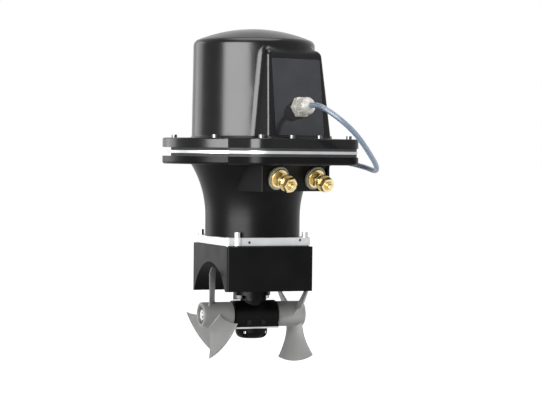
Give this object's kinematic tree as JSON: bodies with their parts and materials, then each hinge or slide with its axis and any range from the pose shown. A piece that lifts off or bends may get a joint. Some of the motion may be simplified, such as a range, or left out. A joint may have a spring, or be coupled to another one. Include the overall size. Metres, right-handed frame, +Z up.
{
  "type": "bow thruster",
  "caption": "Electric bow thruster: domed motor cover with terminal box and control cable, bell housing, saddle for a tunnel, and a gear leg turning a propeller at each end of a cross shaft.",
  "frame": {"origin": "where the drive shaft's axis meets the propeller shaft's axis, on the tunnel's centre line", "axes": "+X along the tunnel and the propeller shaft, +Z up the drive shaft to the motor, -Y to the front; the motor housing faces 18 degrees from -Y towards +X"},
  "size_m": [0.2626, 0.2861, 0.4258],
  "materials": {
    "black_cover": "black moulded cover, satin",
    "black_casting": "black paint on an aluminium casting, satin",
    "black_composite": "glass-filled black plastic, matte",
    "label_film": "dark graphite panel, smooth",
    "plate_aluminium": "machined aluminium",
    "stainless": "stainless steel",
    "steel": "ground steel",
    "dark_steel": "black-passivated steel",
    "brass": "bare brass",
    "copper": "copper",
    "rubber": "black rubber",
    "coupling_rubber": "red elastomer",
    "gland_plastic": "cream nylon",
    "cable_sheath": "blue-grey cable sheath",
    "black_plastic": "black moulded plastic",
    "insulator_plastic": "olive vulcanised fibre",
    "prop_composite": "grey moulded composite",
    "motor_steel": "grey painted steel",
    "iron_core": "laminated iron",
    "magnet": "ferrite",
    "carbon": "carbon brush"
  },
  "bodies": {
    "housing": {"motor_cover": "black_cover", "label_panel": "label_film", "cover_screws": "dark_steel", "seam_gaskets": "rubber", "motor_plate": "plate_aluminium", "bell_housing": "black_casting", "bell_screws": "stainless", "terminal_studs": "brass", "terminal_nuts": "brass", "terminal_washers": "brass", "terminal_insulators": "insulator_plastic", "bus_bars": "copper", "contactors": "black_plastic", "gland_body": "gland_plastic", "gland_lock_nut": "gland_plastic", "gland_nut": "gland_plastic", "gland_seal": "rubber", "control_cable": "cable_sheath", "cable_clips": "black_plastic", "control_plug": "black_plastic", "base_plate": "plate_aluminium", "base_screws": "stainless", "plate_gasket": "rubber", "saddle": "black_composite", "leg_housing": "black_casting", "leg_bolts": "stainless", "spigot_ring": "rubber", "oil_plugs": "black_plastic", "bottom_plate": "plate_aluminium", "bottom_cap": "black_composite", "cap_screws": "stainless", "motor_can": "motor_steel", "motor_screws": "stainless", "drive_end_bracket": "plate_aluminium", "brush_end_bracket": "plate_aluminium", "motor_bearings": "steel", "field_magnets": "magnet", "brushes": "carbon", "brush_holder": "black_plastic", "plate_bearing": "steel", "drive_seal": "rubber", "pinion_bearing": "steel", "prop_bearings": "steel", "prop_seals": "rubber"},
    "drive": {"armature_core": "iron_core", "armature_windings": "copper", "commutator": "copper", "motor_shaft": "steel", "coupling_upper": "plate_aluminium", "coupling_spider": "coupling_rubber", "coupling_lower": "plate_aluminium", "drive_shaft": "steel", "drive_pinion": "steel"},
    "propellers": {"propeller_shaft": "steel", "crown_gear": "steel", "propeller_left": "prop_composite", "propeller_right": "prop_composite", "drive_pins": "steel", "hub_nuts": "stainless"}
  },
  "joints": [
    {"name": "drive_spin", "type": "hinge", "parent": "housing", "child": "drive", "pos_m": [0, 0, 0.1], "axis": [0, 0, 1], "continuous": true},
    {"name": "prop_spin", "type": "hinge", "parent": "housing", "child": "propellers", "pos_m": [0, 0, 0], "axis": [1, 0, 0], "continuous": true}
  ],
  "couplings": [
    {"joint": "prop_spin", "follows": "drive_spin", "ratio": -0.5}
  ]
}
